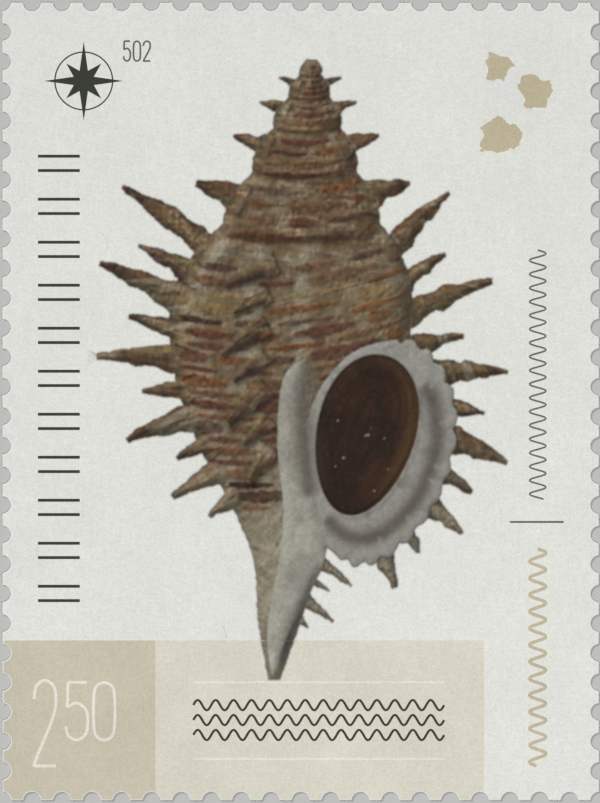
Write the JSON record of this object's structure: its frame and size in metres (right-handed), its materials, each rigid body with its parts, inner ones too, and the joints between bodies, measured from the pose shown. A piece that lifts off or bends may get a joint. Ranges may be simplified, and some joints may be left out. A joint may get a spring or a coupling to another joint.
{
  "type": "postage stamp",
  "caption": "Flat rectangular gummed paper stamp with perforated edges and a printed picture of a spiny sea shell on its face.",
  "frame": {"origin": "middle of the gummed back, on the surface the stamp lies on", "axes": "+Z out of the printed face, +Y towards the top of the printed picture, +X to its right-hand side"},
  "size_m": [0.03, 0.04, 0.0001],
  "materials": {
    "printed_paper": "uncoated matt gummed paper, printed on the face"
  },
  "bodies": {
    "root": {"stamp_paper": "printed_paper"}
  },
  "joints": []
}
